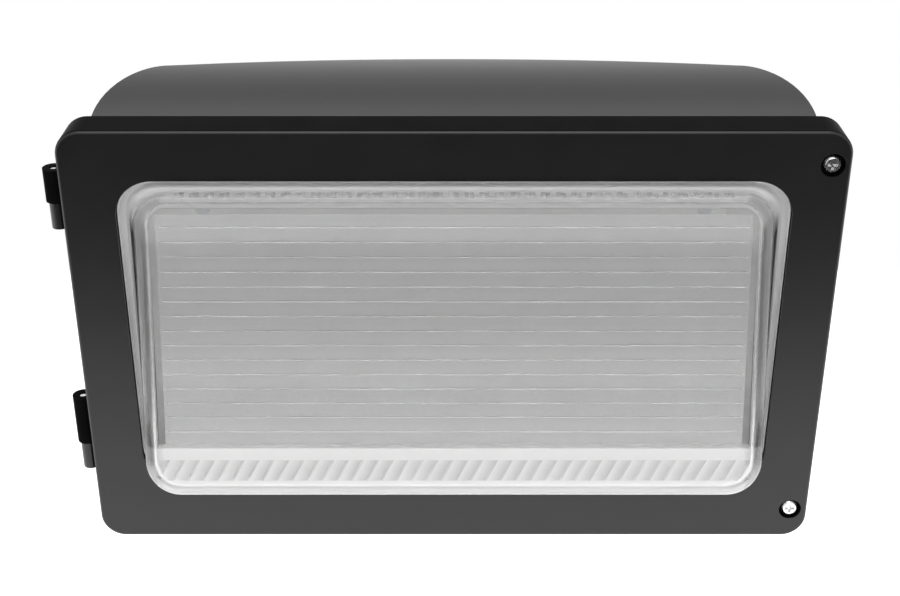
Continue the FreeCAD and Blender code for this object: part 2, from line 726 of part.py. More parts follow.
def near_panel(edge, inset):
    """True for an edge that lies in the front panel's plane."""
    top, low = panel_ends()
    height = panel_height()
    normal = V(0, (low[1] - top[1]) / height, (top[0] - low[0]) / height)
    spot = V(0, low[0], low[1])
    return all(abs((vertex.Point - spot).dot(normal) + inset) < 0.01 for vertex in edge.Vertexes)


def rib(y):
    """One narrow prism across the back of the front panel."""
    root = -LENS_WALL + RIB_ROOT
    points = [
        V(-RIB_HALF, y - RIB_WIDE / 2, root), V(-RIB_HALF, y - RIB_WIDE / 2, -LENS_WALL),
        V(-RIB_HALF, y - RIB_CREST / 2, -LENS_WALL - RIB_HIGH),
        V(-RIB_HALF, y + RIB_CREST / 2, -LENS_WALL - RIB_HIGH),
        V(-RIB_HALF, y + RIB_WIDE / 2, -LENS_WALL), V(-RIB_HALF, y + RIB_WIDE / 2, root),
    ]
    face = Part.Face(Part.makePolygon(points + points[:1]))
    return on_panel(face.extrude(V(2 * RIB_HALF, 0, 0)))


def rib_heights():
    """The heights of the ribs on the front panel."""
    count = int((panel_height() - RIB_LOW_MARGIN - RIB_TOP_MARGIN) / RIB_PITCH) + 1
    return [RIB_LOW_MARGIN + step * RIB_PITCH for step in range(count)]


def flute_runs():
    """The inner faces of the bowl's bottom and top walls: start, end and way in of each, as (y, z)."""
    runs = []
    base_z = LENS_BACK - LENS_WALL
    for base_y, height, inward in (
        (WINDOW_LOW + LENS_GAP + LENS_WALL, LENS_WALL, 1),
        (WINDOW_HIGH - LENS_GAP - LENS_WALL, panel_height() - LENS_WALL, -1),
    ):
        far = on_panel(Part.Vertex(0, height, -LENS_WALL)).Point
        long = math.hypot(far.y - base_y, far.z - base_z)
        along = ((far.y - base_y) / long, (far.z - base_z) / long)
        across = (inward * along[1], -inward * along[0])
        start = (base_y + along[0] * FLUTE_END_MARGIN, base_z + along[1] * FLUTE_END_MARGIN)
        run = long - FLUTE_END_MARGIN - LENS_INNER_ROUND - FLUTE_CLEAR
        end = (start[0] + along[0] * run, start[1] + along[1] * run)
        runs.append((start, end, across))
    return runs


def flutes():
    """The rows of three-sided flutes along the inside of the bowl's bottom and top walls."""
    reach = LENS_PANEL_HALF - FLUTE_SIDE_MARGIN
    count = int(2 * reach / FLUTE_PITCH)
    rows = []
    for start, end, across in flute_runs():
        for step in range(count + 1):
            x = (step - count / 2) * FLUTE_PITCH
            foot_y = start[0] - across[0] * RIB_ROOT
            foot_z = start[1] - across[1] * RIB_ROOT
            crest = V(x, start[0] + across[0] * FLUTE_HIGH, start[1] + across[1] * FLUTE_HIGH)
            feet = [V(x - FLUTE_WIDE / 2, foot_y, foot_z), V(x + FLUTE_WIDE / 2, foot_y, foot_z)]
            face = Part.Face(Part.makePolygon([feet[0], feet[1], crest, feet[0]]))
            rows.append(face.extrude(V(0, end[0] - start[0], end[1] - start[1])))
    return rows


def make_refractor_lens():
    """The pressed glass: flange, bowl, ribs across the panel and flutes along the bottom and top walls."""
    flange = prism(window_outline(LENS_LAP, LENS_BACK), LENS_FLANGE)
    glass = fused([flange, bowl(0.0, LENS_EDGE_ROUND)]).cut(bowl(LENS_WALL, LENS_INNER_ROUND))
    return on_door(glass.fuse([rib(y) for y in rib_heights()] + flutes()))


def make_diffuser_sheet():
    """The frosted sheet that lies on the ribs behind the front panel, a little wider at the top."""
    face = -LENS_WALL - RIB_HIGH
    low = SHEET_LOW_MARGIN
    high = panel_height() - SHEET_TOP_INSET
    low_half = LENS_PANEL_HALF - SHEET_LOW_INSET
    top_half = LENS_PANEL_HALF - SHEET_TOP_INSET
    points = [
        V(-low_half, low, face), V(low_half, low, face),
        V(top_half, high, face), V(-top_half, high, face),
    ]
    sheet = Part.Face(Part.makePolygon(points + points[:1])).extrude(V(0, 0, -SHEET_THICK))
    return on_door(on_panel(sheet))


def make_lens_gasket():
    """The flat ring between the door's face and the glass's flange."""
    ring = prism(window_outline(LENS_LAP, -DOOR_FACE - LENS_GASKET), LENS_GASKET)
    hole = prism(window_outline(-LENS_GASKET_LIP, -DOOR_FACE - LENS_GASKET - 1), LENS_GASKET + 2)
    return on_door(ring.cut(hole))


def make_lens_clips():
    """Six flat clips that hold the glass's flange against the door."""
    reach = CLIP_BOSS + CLIP_BOSS_GAP + CLIP_GRIP
    clips = []
    for x, y, turn in clip_spots():
        plate = block(-CLIP_BOSS, reach, -CLIP_LONG / 2, CLIP_LONG / 2, LENS_BACK - CLIP_THICK, LENS_BACK)
        plate = plate.cut(rod(0, 0, LENS_BACK - CLIP_THICK - 1, LENS_BACK + 1, CLIP_SCREW + SCREW_FIT))
        plate.rotate(V(0, 0, 0), V(0, 0, 1), turn)
        clips.append(on_door(moved(plate, x, y, 0)))
    return Part.makeCompound(clips)


def make_lens_clip_screws():
    """The six small screws through the clips."""
    screws = []
    for x, y, _ in clip_spots():
        one = hex_screw(CLIP_SCREW, LENS_FLANGE, CLIP_SCREW_HEAD, CLIP_SCREW_HEAD_HIGH)
        one.rotate(V(0, 0, 0), V(1, 0, 0), 180)
        screws.append(on_door(moved(one, x, y, LENS_BACK - CLIP_THICK)))
    return Part.makeCompound(screws)


# ---------------------------------------------------------------------------
# gear plate, reflector, LED boards and driver
# ---------------------------------------------------------------------------

def driver_tab_spots():
    """The two screws that hold the driver, as x and y."""
    reach = DRIVER_LONG / 2 + DRIVER_TAB / 2
    return [(DRIVER_AT_X - reach, DRIVER_AT_Y), (DRIVER_AT_X + reach, DRIVER_AT_Y)]


def make_gear_plate():
    """The aluminium plate that carries the LED boards in front and the driver behind."""
    plate = slab(PLATE_HALF, -PLATE_LOW, PLATE_HIGH, PLATE_CORNER, PLATE_REAR, -PLATE_BACK)
    holes = [(x, y, PLATE_SCREW) for x, y in post_spots()]
    holes += [(x, y, SMALL_SCREW) for x, y in driver_tab_spots()]
    cuts = [rod(x, y, PLATE_REAR - 1, -PLATE_BACK + 1, radius + SCREW_FIT) for x, y, radius in holes]
    return on_door(plate.cut(cuts))


def make_reflector_tray():
    """The white tray that fills the mouth round the LED boards, with flared sides."""
    def form(inset, back):
        floor = outline(
            TRAY_FLOOR_HALF - inset, -TRAY_FLOOR_LOW + inset, TRAY_FLOOR_HIGH - inset,
            TRAY_CORNER - inset, TRAY_CORNER - inset, back,
        )
        mouth = outline(
            TRAY_MOUTH_HALF - inset, -TRAY_MOUTH_LOW + inset, TRAY_MOUTH_HIGH - inset,
            TRAY_CORNER - inset, TRAY_CORNER - inset, TRAY_FRONT,
        )
        return Part.makeLoft([floor, mouth], True, True)
    tray = form(0.0, -PLATE_BACK).cut(form(TRAY_THICK, TRAY_FLOOR))
    gap = BOARD_WINDOW_GAP
    cuts = [
        block(
            -BOARD_LONG / 2 - gap, BOARD_LONG / 2 + gap, y - BOARD_WIDE / 2 - gap, y + BOARD_WIDE / 2 + gap,
            -PLATE_BACK - 1, TRAY_FLOOR + 1,
        )
        for y in BOARD_AT
    ]
    holes = [(x, y, PLATE_SCREW + SCREW_FIT) for x, y in post_spots()]
    holes += [(x, y, SMALL_SCREW_HEAD + DRIVER_SCREW_CLEAR) for x, y in driver_tab_spots()]
    cuts += [rod(x, y, -PLATE_BACK - 1, TRAY_FLOOR + 1, radius) for x, y, radius in holes]
    return on_door(tray.cut(cuts))


def make_gear_plate_screws():
    """Four screws through the tray and the plate into the posts."""
    long = TRAY_THICK + PLATE_THICK + PLATE_SCREW_BITE
    one = hex_screw(PLATE_SCREW, long, PLATE_SCREW_HEAD, PLATE_SCREW_HEAD_HIGH)
    return Part.makeCompound([on_door(moved(one, x, y, TRAY_FLOOR)) for x, y in post_spots()])


def make_led_board(y):
    """One LED circuit board on the plate."""
    return on_door(block(
        -BOARD_LONG / 2, BOARD_LONG / 2, y - BOARD_WIDE / 2, y + BOARD_WIDE / 2,
        -PLATE_BACK, -PLATE_BACK + BOARD_THICK,
    ))


def make_leds(y):
    """The row of LEDs on one board."""
    pitch = BOARD_LONG / LED_COUNT
    base = -PLATE_BACK + BOARD_THICK
    leds = []
    for step in range(LED_COUNT):
        x = (step - (LED_COUNT - 1) / 2) * pitch
        leds.append(on_door(block(
            x - LED_SIZE / 2, x + LED_SIZE / 2, y - LED_SIZE / 2, y + LED_SIZE / 2, base, base + LED_HIGH,
        )))
    return Part.makeCompound(leds)


def make_led_driver():
    """The driver's case with its two fixing tabs, behind the plate."""
    case = block(
        DRIVER_AT_X - DRIVER_LONG / 2, DRIVER_AT_X + DRIVER_LONG / 2,
        DRIVER_AT_Y - DRIVER_WIDE / 2, DRIVER_AT_Y + DRIVER_WIDE / 2,
        PLATE_REAR - DRIVER_HIGH, PLATE_REAR,
    )
    back = [edge for edge in case.Edges if edge.BoundBox.ZMax < PLATE_REAR - 0.1]
    case = case.makeFillet(DRIVER_ROUND, back)
    reach = DRIVER_LONG / 2 + DRIVER_TAB
    tabs = block(
        DRIVER_AT_X - reach, DRIVER_AT_X + reach, DRIVER_AT_Y - DRIVER_TAB / 2, DRIVER_AT_Y + DRIVER_TAB / 2,
        PLATE_REAR - DRIVER_TAB_THICK, PLATE_REAR,
    )
    holes = [
        rod(x, y, PLATE_REAR - DRIVER_TAB_THICK - 1, PLATE_REAR + 1, SMALL_SCREW + SCREW_FIT)
        for x, y in driver_tab_spots()
    ]
    return on_door(fused([case, tabs]).cut(holes))


def make_driver_screws():
    """Two screws from the front of the plate into the driver's tabs."""
    one = hex_screw(SMALL_SCREW, PLATE_THICK + DRIVER_TAB_THICK, SMALL_SCREW_HEAD, SMALL_SCREW_HEAD_HIGH)
    return Part.makeCompound([on_door(moved(one, x, y, -PLATE_BACK)) for x, y in driver_tab_spots()])


def make_surge_protector():
    """The round surge protector behind the plate."""
    can = rod(SURGE_AT_X, SURGE_AT_Y, PLATE_REAR - SURGE_HIGH, PLATE_REAR, SURGE_RADIUS)
    back = [edge for edge in can.Edges if edge.BoundBox.ZMax < PLATE_REAR - 1]
    return on_door(can.makeChamfer(SURGE_CHAMFER, back))


def make_terminal_block():
    """The terminal block that takes the supply wires."""
    body = block(
        BLOCK_AT_X - BLOCK_LONG / 2, BLOCK_AT_X + BLOCK_LONG / 2,
        BLOCK_AT_Y - BLOCK_WIDE / 2, BLOCK_AT_Y + BLOCK_WIDE / 2,
        PLATE_REAR - BLOCK_HIGH, PLATE_REAR,
    )
    pitch = BLOCK_LONG / BLOCK_WAYS
    cuts = []
    for step in range(BLOCK_WAYS):
        x = BLOCK_AT_X + (step - (BLOCK_WAYS - 1) / 2) * pitch
        mouth = PLATE_REAR - BLOCK_HIGH
        cuts.append(rod(x, BLOCK_AT_Y, mouth - 1, mouth + BLOCK_WELL_DEEP, BLOCK_WELL))
        entry = V(x, BLOCK_AT_Y - BLOCK_WIDE / 2 - 1, PLATE_REAR - BLOCK_WIRE_UP)
        cuts.append(Part.makeCylinder(BLOCK_WIRE, BLOCK_WIRE_DEEP + 1, entry, V(0, 1, 0)))
    return on_door(body.cut(cuts))


# ---------------------------------------------------------------------------
# all nodes
# ---------------------------------------------------------------------------

def all_parts():
    """Every node of the light, by name."""
    return {
        "back_housing": make_back_housing(),
        "door_frame": make_door_frame(),
        "door_gasket": make_door_gasket(),
        "refractor_lens": make_refractor_lens(),
        "diffuser_sheet": make_diffuser_sheet(),
        "lens_gasket": make_lens_gasket(),
        "lens_clips": make_lens_clips(),
        "lens_clip_screws": make_lens_clip_screws(),
        "hinge_pin_upper": make_hinge_pin("upper"),
        "hinge_pin_lower": make_hinge_pin("lower"),
        "door_screw_upper": make_door_screw("upper"),
        "door_screw_lower": make_door_screw("lower"),
        "screw_retainer_upper": make_retainer("upper"),
        "screw_retainer_lower": make_retainer("lower"),
        "gear_plate": make_gear_plate(),
        "gear_plate_screws": make_gear_plate_screws(),
        "reflector_tray": make_reflector_tray(),
        "led_board_upper": make_led_board(BOARD_AT[0]),
        "led_board_lower": make_led_board(BOARD_AT[1]),
        "leds_upper": make_leds(BOARD_AT[0]),
        "leds_lower": make_leds(BOARD_AT[1]),
        "led_driver": make_led_driver(),
        "driver_screws": make_driver_screws(),
        "surge_protector": make_surge_protector(),
        "terminal_block": make_terminal_block(),
        "ground_screw": make_ground_screw(),
        "conduit_plug_left": make_conduit_plug("left"),
        "conduit_plug_right": make_conduit_plug("right"),
        "conduit_plug_bottom": make_conduit_plug("bottom"),
    }


os.makedirs("parts", exist_ok=True)
for name, shape in all_parts().items():
    shape.exportStep("parts/" + name + ".step")
    box = shape.optimalBoundingBox()
    print(
        name, "solids", len(shape.Solids), "valid", shape.isValid(), "volume", round(shape.Volume),
        "x", round(box.XMin, 1), round(box.XMax, 1), "y", round(box.YMin, 1), round(box.YMax, 1),
        "z", round(box.ZMin, 1), round(box.ZMax, 1),
    )
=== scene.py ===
import json
import math

import bpy
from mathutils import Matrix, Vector

# ---------------------------------------------------------------------------
# A hinged wall pack light. Metres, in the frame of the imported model: +Z up,
# the wall is the plane y = 0 and the light stands out along -Y.
# ---------------------------------------------------------------------------

# camera: in front of the light, a little above its middle and looking down
CAMERA_AT = (-0.0018, -0.8560, 0.0837)
CAMERA_PITCH = -7.0
CAMERA_LENS = 58.96
SENSOR = 36.0

# door: the middle of its face, and its own axes
DOOR_AT = Vector((0.0, -0.152, -0.027))
DOOR_TILT = math.radians(20.0)
DOOR_UP = Vector((0.0, -math.sin(DOOR_TILT), math.cos(DOOR_TILT)))
DOOR_OUT = Vector((0.0, -math.cos(DOOR_TILT), -math.sin(DOOR_TILT)))

# glass: the lower and upper end of its leaning front panel, as up and out from the door's middle,
# a point on the panel, and the way in through it
PANEL_LOW = (-0.0548, 0.0457)
PANEL_TOP = (0.0822, 0.0080)
PANEL_AT = DOOR_AT + DOOR_UP * PANEL_LOW[0] + DOOR_OUT * PANEL_LOW[1]
PANEL_OUT = DOOR_UP * (PANEL_LOW[1] - PANEL_TOP[1]) + DOOR_OUT * (PANEL_TOP[0] - PANEL_LOW[0])
PANEL_IN = -PANEL_OUT.normalized()

# values that noises mostly take, and that masks take
NOISE_REACH = (0.3, 0.7)
MASK_REACH = (0.0, 1.0)

# glass: where its finishes, its painted brightness low down and its painted dark streaks begin and where
# they are full, along the door's axes or behind the panel
ACROSS = Vector((1.0, 0.0, 0.0))
LOW_ZONE = (-0.0312, -0.0326)
LOW_ZONE_SIDE = (0.1360, 0.1420)
LOW_ZONE_LEAST = 0.35
FLUTE_PITCH = 0.007
TEETH_SLANT = -80.0
TEETH_LEAST = 0.55
TEETH_LOW = (-0.0475, -0.0465)
TEETH_HIGH = (-0.0375, -0.0385)
WALL_DEPTH = (0.0045, 0.0065)
TOP_WALL = (0.0770, 0.0790)
RIM_OUT = (0.0035, 0.0)
RIB_DEPTH = (0.00402, 0.00410)
STREAK_LEAN = -0.045
STREAK_INNER = (0.1431, 0.1437)
STREAK_OUTER = (0.1472, 0.1466)
STREAK_TOP = (0.072, 0.064)
STREAK_LOW = (-0.050, -0.042)
STREAK_DEPTH = (0.0025, 0.0045)

# stage
FLOOR_Z = -0.42
FLOOR_SIZE = 8.0
FLOOR_COLOUR = (0.86, 0.86, 0.86, 1.0)
FLOOR_GLOW = 0.8
STAGE_ROUGH = 0.9
WORLD_GLOW = 0.7
CARD_COLOUR = (0.012, 0.012, 0.012, 1.0)
CARD_Z = -0.40
CARD_FROM = -0.50
CARD_TO = -1.9
CARD_HALF = 1.3
WHITE = (1.0, 1.0, 1.0, 1.0)
CAMERA_RAY = "Is Camera Ray"
GLOSSY_RAY = "Is Glossy Ray"
CLEAR_RAY = "Is Transmission Ray"

# lamps: name, place, aim, width, depth, power in watts, whether gloss shows it
LAMPS = (
    ("top_softbox", (0.0, -0.55, 1.3), (0.0, -0.1, 0.0), 1.4, 1.4, 8.0, True),
    ("front_softbox", (0.0, -1.6, 1.3), (0.0, -0.15, 0.0), 1.4, 1.4, 16.0, True),
    ("low_fill", (0.0, -1.2, -0.32), (0.0, -0.15, -0.05), 1.6, 0.6, 5.0, False),
)

# finishes
COAT_DARK = (0.0028, 0.0028, 0.0028, 1.0)
COAT_LIGHT = (0.0044, 0.0044, 0.0044, 1.0)
COAT_ROUGH = (0.28, 0.36)
COAT_PATCH = 55.0
COAT_GRAIN = 3200.0
COAT_GRAIN_HIGH = 0.00003
# painted shade: the gloss of the door's skirt is turned down so that the skirt renders darker
SKIRT_PAINTED_SHADE_GLOSS = 0.004
SKIRT_DEPTH = (-0.0010, -0.0002)
GLASS_TINT = (0.995, 0.995, 0.995, 1.0)
GLASS_IOR = 1.48
GLASS_ROUGH = (0.02, 0.06)
GLASS_WAVES = 90.0
GLASS_WAVES_HIGH = 0.0001
# painted shade: the dark of the side streaks, standing in for the door's dark edge seen through the glass
STREAK_PAINTED_DARK = (0.05, 0.05, 0.05, 1.0)
STREAK_IOR = 1.08
# painted brightness of the glass below the sheet, standing in for the lit white reflector seen through
# the prisms
LOW_PAINTED_BRIGHTNESS = 0.42
LOW_MATT = 0.06
RIM_MILKY = 0.45
RIM_MATT = 0.4
RIB_MILKY = 0.2
RIB_MATT = 0.4
SHEET_DARK = (0.50, 0.50, 0.50, 1.0)
SHEET_LIGHT = (0.57, 0.57, 0.57, 1.0)
# painted light: the sheet's lower part made paler, as if lit more from below
SHEET_LOW_PAINTED_LIGHT = 1.72
SHEET_PAINTED_LIGHT_SPAN = (-0.040, 0.030)
SHEET_ROUGH = (0.6, 0.8)
SHEET_SPECKLE = 1500.0
SHEET_SPECKLE_HIGH = 0.0001
SHEET_CLEAR = 0.45
SHEET_IOR = 1.45
PLAIN_GRAIN_HIGH = 0.00003
PLAIN_ROUGH = (0.8, 1.2)
BRUSHED_LINES_HIGH = 0.00001
BRUSHED_ROUGH = (0.75, 1.3)
BRUSHED_DARK = 0.85
USUAL_GLOSS = 0.5

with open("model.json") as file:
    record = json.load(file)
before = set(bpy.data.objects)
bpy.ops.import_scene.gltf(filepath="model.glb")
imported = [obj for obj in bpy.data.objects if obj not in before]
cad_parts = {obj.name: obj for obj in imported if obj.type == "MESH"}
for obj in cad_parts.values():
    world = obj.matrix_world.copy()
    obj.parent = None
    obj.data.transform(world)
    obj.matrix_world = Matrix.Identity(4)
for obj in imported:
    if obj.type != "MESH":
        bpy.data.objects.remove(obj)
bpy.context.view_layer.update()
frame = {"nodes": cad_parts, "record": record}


# ---------------------------------------------------------------------------
# node helpers
# ---------------------------------------------------------------------------

class Paint:
    """A material whose nodes are added one by one."""

    def __init__(self, name):
        self.material = bpy.data.materials.new(name)
        self.material.use_nodes = True
        self.nodes = self.material.node_tree.nodes
        self.links = self.material.node_tree.links
        self.nodes.clear()
        self.shader = self.nodes.new("ShaderNodeBsdfPrincipled")
        out = self.nodes.new("ShaderNodeOutputMaterial")
        self.links.new(self.shader.outputs["BSDF"], out.inputs["Surface"])
        coords = self.nodes.new("ShaderNodeTexCoord")
        self.place = coords.outputs["Object"]

    def set(self, **values):
        """Set the shader's own sockets, by name with _ for each space."""
        for name, value in values.items():
            self.shader.inputs[name.replace("_", " ")].default_value = value
        return self

    def stretched(self, scale):
        """The piece's coordinates, stretched by three factors."""
        mapping = self.nodes.new("ShaderNodeMapping")
        mapping.inputs["Scale"].default_value = scale
        self.links.new(self.place, mapping.inputs["Vector"])
        return mapping.outputs["Vector"]

    def noise(self, scale, detail, where=None):
        """A noise value."""
        node = self.nodes.new("ShaderNodeTexNoise")
        node.inputs["Scale"].default_value = scale
        node.inputs["Detail"].default_value = detail
        self.links.new(where or self.place, node.inputs["Vector"])
        return node.outputs["Fac"]

    def span(self, value, low, high, reach=NOISE_REACH):
        """From low to high as a value goes over its reach."""
        node = self.nodes.new("ShaderNodeMapRange")
        node.inputs["From Min"].default_value = reach[0]
        node.inputs["From Max"].default_value = reach[1]
        node.inputs["To Min"].default_value = low
        node.inputs["To Max"].default_value = high
        self.links.new(value, node.inputs["Value"])
        return node.outputs["Result"]

    def rise(self, value, marks):
        """0 at the first mark and 1 at the second."""
        return self.span(value, 0.0, 1.0, marks)

    def blend(self, value, first, second, reach=NOISE_REACH):
        """From one colour to another as a value goes over its reach."""
        node = self.nodes.new("ShaderNodeValToRGB")
        node.color_ramp.elements[0].position = reach[0]
        node.color_ramp.elements[0].color = first
        node.color_ramp.elements[1].position = reach[1]
        node.color_ramp.elements[1].color = second
        self.links.new(value, node.inputs["Fac"])
        return node.outputs["Color"]

    def bump(self, value, distance, strength):
        """A bump from a value."""
        node = self.nodes.new("ShaderNodeBump")
        node.inputs["Distance"].default_value = distance
        node.inputs["Strength"].default_value = strength
        self.links.new(value, node.inputs["Height"])
        return node.outputs["Normal"]

    def along(self, node, direction, start=DOOR_AT):
        """How far a point of a node lies from the start along a direction, in metres."""
        place = node.matrix_world
        dot = self.nodes.new("ShaderNodeVectorMath")
        dot.operation = "DOT_PRODUCT"
        dot.inputs[1].default_value = place.to_3x3().transposed() @ direction
        self.links.new(self.place, dot.inputs[0])
        return self.combine("ADD", dot.outputs["Value"], direction.dot(place.translation - start))

    def combine(self, operation, first, second=0.0):
        """Two values put together by an operation; the second may be a plain number."""
        node = self.nodes.new("ShaderNodeMath")
        node.operation = operation
        self.links.new(first, node.inputs[0])
        if isinstance(second, float):
            node.inputs[1].default_value = second
        else:
            self.links.new(second, node.inputs[1])
        return node.outputs[0]

    def times(self, first, *others):
        """Values, or plain numbers after the first, multiplied."""
        for other in others:
            first = self.combine("MULTIPLY", first, other)
        return first

    def most(self, first, *others):
        """The largest of several values."""
        for other in others:
            first = self.combine("MAXIMUM", first, other)
        return first

    def feed(self, socket, value):
        """Link a value into one of the shader's sockets."""
        self.links.new(value, self.shader.inputs[socket])
        return self


# ---------------------------------------------------------------------------
# finishes
# ---------------------------------------------------------------------------

def powder_coat(name="black_powder_coat"):
    """Near-black powder coat with a fine orange-peel grain."""
    paint = Paint(name)
    grain = paint.noise(COAT_GRAIN, detail=2.0)
    patch = paint.noise(COAT_PATCH, detail=4.0)
    paint.feed("Base Color", paint.blend(patch, COAT_DARK, COAT_LIGHT))
    paint.feed("Roughness", paint.span(grain, *COAT_ROUGH))
    paint.feed("Normal", paint.bump(grain, COAT_GRAIN_HIGH, strength=0.8))
    return paint.set(Specular_IOR_Level=USUAL_GLOSS)


def door_coat(node):
    """The door's coat: the same powder, with painted shade on the skirt behind the face, where its gloss
    is turned down.
    """
    paint = powder_coat("black_coat_door")
    out = paint.along(node, DOOR_OUT)
    # painted shade: less gloss on the skirt behind the face
    paint.feed("Specular IOR Level", paint.span(out, SKIRT_PAINTED_SHADE_GLOSS, USUAL_GLOSS, SKIRT_DEPTH))
    return paint


def low_zone(paint, up, across, side):
    """The glass below the frosted sheet: painted brightness that stands in for the lit white reflector
    seen through the prisms, with painted slanted marks at the pitch of the flutes behind it.
    """
    zone = paint.times(paint.rise(up, LOW_ZONE), paint.span(side, 1.0, LOW_ZONE_LEAST, LOW_ZONE_SIDE))
    slant = paint.combine("ADD", paint.times(across, 1 / FLUTE_PITCH), paint.times(up, TEETH_SLANT))
    teeth = paint.span(paint.combine("FRACT", slant), 1.0, TEETH_LEAST, MASK_REACH)
    row = paint.times(paint.rise(up, TEETH_LOW), paint.rise(up, TEETH_HIGH))
    beside = paint.span(row, 1.0, 0.0, MASK_REACH)
    return paint.times(zone, paint.most(teeth, beside))


def side_streak(paint, up, side, behind):
    """A painted dark streak down each side wall, standing in for the door's dark edge that the real glass
    bends into view.
    """
    lean = paint.combine("ADD", side, paint.times(up, STREAK_LEAN))
    return paint.times(
        paint.rise(lean, STREAK_INNER), paint.rise(lean, STREAK_OUTER),
        paint.rise(up, STREAK_TOP), paint.rise(up, STREAK_LOW), paint.rise(behind, STREAK_DEPTH),
    )


def pressed_glass(node):
    """Pressed glass: clear over the panel, cloudy where ribs and rims scatter the light, and with painted
    brightness below the sheet that stands in for the lit white reflector seen through the prisms.
    """
    paint = Paint("clear_glass")
    waves = paint.noise(GLASS_WAVES, detail=2.0)
    up = paint.along(node, DOOR_UP)
    out = paint.along(node, DOOR_OUT)
    behind = paint.along(node, PANEL_IN, PANEL_AT)
    across = paint.along(node, ACROSS, Vector())
    side = paint.combine("ABSOLUTE", across)
    low = low_zone(paint, up, across, side)
    walls = paint.rise(behind, WALL_DEPTH)
    rim = paint.times(walls, paint.most(paint.rise(up, TOP_WALL), paint.rise(out, RIM_OUT)))
    ribs = paint.rise(behind, RIB_DEPTH)
    # real scatter on ribs and rims, and painted brightness below the sheet
    scatter_and_painted_brightness = paint.most(
        paint.times(low, LOW_PAINTED_BRIGHTNESS), paint.times(rim, RIM_MILKY), paint.times(ribs, RIB_MILKY),
    )
    matt = paint.most(
        paint.times(low, LOW_MATT), paint.times(rim, RIM_MATT), paint.times(ribs, RIB_MATT),
    )
    streak = side_streak(paint, up, side, behind)
    paint.feed("Transmission Weight", paint.span(scatter_and_painted_brightness, 1.0, 0.0, MASK_REACH))
    paint.feed("Roughness", paint.combine("ADD", paint.span(waves, *GLASS_ROUGH), matt))
    paint.feed("Normal", paint.bump(waves, GLASS_WAVES_HIGH, strength=0.2))
    # the side streaks are painted dark, with no gloss and a low IOR
    paint.feed("Base Color", paint.blend(streak, GLASS_TINT, STREAK_PAINTED_DARK, MASK_REACH))
    paint.feed("Specular IOR Level", paint.span(streak, USUAL_GLOSS, 0.0, MASK_REACH))
    return paint.feed("IOR", paint.span(streak, GLASS_IOR, STREAK_IOR, MASK_REACH))


def frosted_sheet(node):
    """The frosted sheet: translucent, with a fine speckle, and paler towards its lower edge as painted
    light, as if lit more from below.
    """
    paint = Paint("frosted_acrylic")
    speckle = paint.noise(SHEET_SPECKLE, detail=2.0)
    painted_light_tone = paint.nodes.new("ShaderNodeHueSaturation")
    up = paint.along(node, DOOR_UP)
    paint.links.new(paint.blend(speckle, SHEET_DARK, SHEET_LIGHT), painted_light_tone.inputs["Color"])
    # painted light: brighter colour towards the sheet's lower edge
    paint.links.new(paint.span(up, SHEET_LOW_PAINTED_LIGHT, 1.0, SHEET_PAINTED_LIGHT_SPAN), painted_light_tone.inputs["Value"])
    paint.feed("Base Color", painted_light_tone.outputs["Color"])
    paint.feed("Roughness", paint.span(speckle, *SHEET_ROUGH))
    paint.feed("Normal", paint.bump(speckle, SHEET_SPECKLE_HIGH, strength=0.5))
    return paint.set(Transmission_Weight=SHEET_CLEAR, IOR=SHEET_IOR)


def plain(name, colour, rough, metallic=0.0, scale=400.0, spread=0.05):
    """A finish with a slight variation in colour and gloss and a fine grain."""
    paint = Paint(name)
    grain = paint.noise(scale, detail=3.0)
    darker = tuple(channel * (1 - spread) for channel in colour) + (1.0,)
    lighter = tuple(min(1.0, channel * (1 + spread)) for channel in colour) + (1.0,)
    paint.feed("Base Color", paint.blend(grain, darker, lighter))
    paint.feed("Roughness", paint.span(grain, rough * PLAIN_ROUGH[0], rough * PLAIN_ROUGH[1]))
    paint.feed("Normal", paint.bump(grain, PLAIN_GRAIN_HIGH, strength=0.6))
    return paint.set(Metallic=metallic)


def brushed(name, colour, rough, stretch):
    """A metal with fine lines along one direction."""
    paint = Paint(name)
    lines = paint.noise(1.0, detail=2.0, where=paint.stretched(stretch))
    darker = tuple(channel * BRUSHED_DARK for channel in colour) + (1.0,)
    paint.feed("Base Color", paint.blend(lines, darker, colour + (1.0,)))
    paint.feed("Roughness", paint.span(lines, rough * BRUSHED_ROUGH[0], rough * BRUSHED_ROUGH[1]))
    paint.feed("Normal", paint.bump(lines, BRUSHED_LINES_HIGH, strength=0.5))
    return paint.set(Metallic=1.0)


def finishes():
    """Each of the record's slots with its material."""
    return {
        "black_powder_coat": powder_coat(),
        "clear_glass": pressed_glass(frame["nodes"]["refractor_lens"]),
        "frosted_acrylic": frosted_sheet(frame["nodes"]["diffuser_sheet"]),
        "black_rubber": plain("black_rubber", (0.02, 0.02, 0.02), 0.75, scale=900.0),
        "stainless_steel": brushed("stainless_steel", (0.78, 0.78, 0.78), 0.22, (3000.0, 300.0, 300.0)),
        "zinc_steel": plain("zinc_steel", (0.66, 0.68, 0.70), 0.32, metallic=1.0, scale=220.0),
        "aluminium_sheet": brushed("aluminium_sheet", (0.80, 0.80, 0.81), 0.35, (40.0, 3000.0, 3000.0)),
        "white_reflector": plain("white_reflector", (0.93, 0.93, 0.92), 0.25, scale=120.0, spread=0.02),
        "white_board": plain("white_board", (0.82, 0.82, 0.80), 0.35, scale=600.0, spread=0.03),
        "led_phosphor": plain("led_phosphor", (0.93, 0.78, 0.22), 0.3, scale=1500.0),
        "driver_case": plain("driver_case", (0.62, 0.63, 0.64), 0.4, scale=300.0),
        "dark_plastic": plain("dark_plastic", (0.03, 0.03, 0.033), 0.45, scale=700.0),
        "grey_plastic": plain("grey_plastic", (0.30, 0.31, 0.32), 0.5, scale=700.0),
        "green_screw": plain("green_screw", (0.04, 0.30, 0.10), 0.3, metallic=0.8, scale=300.0),
    }


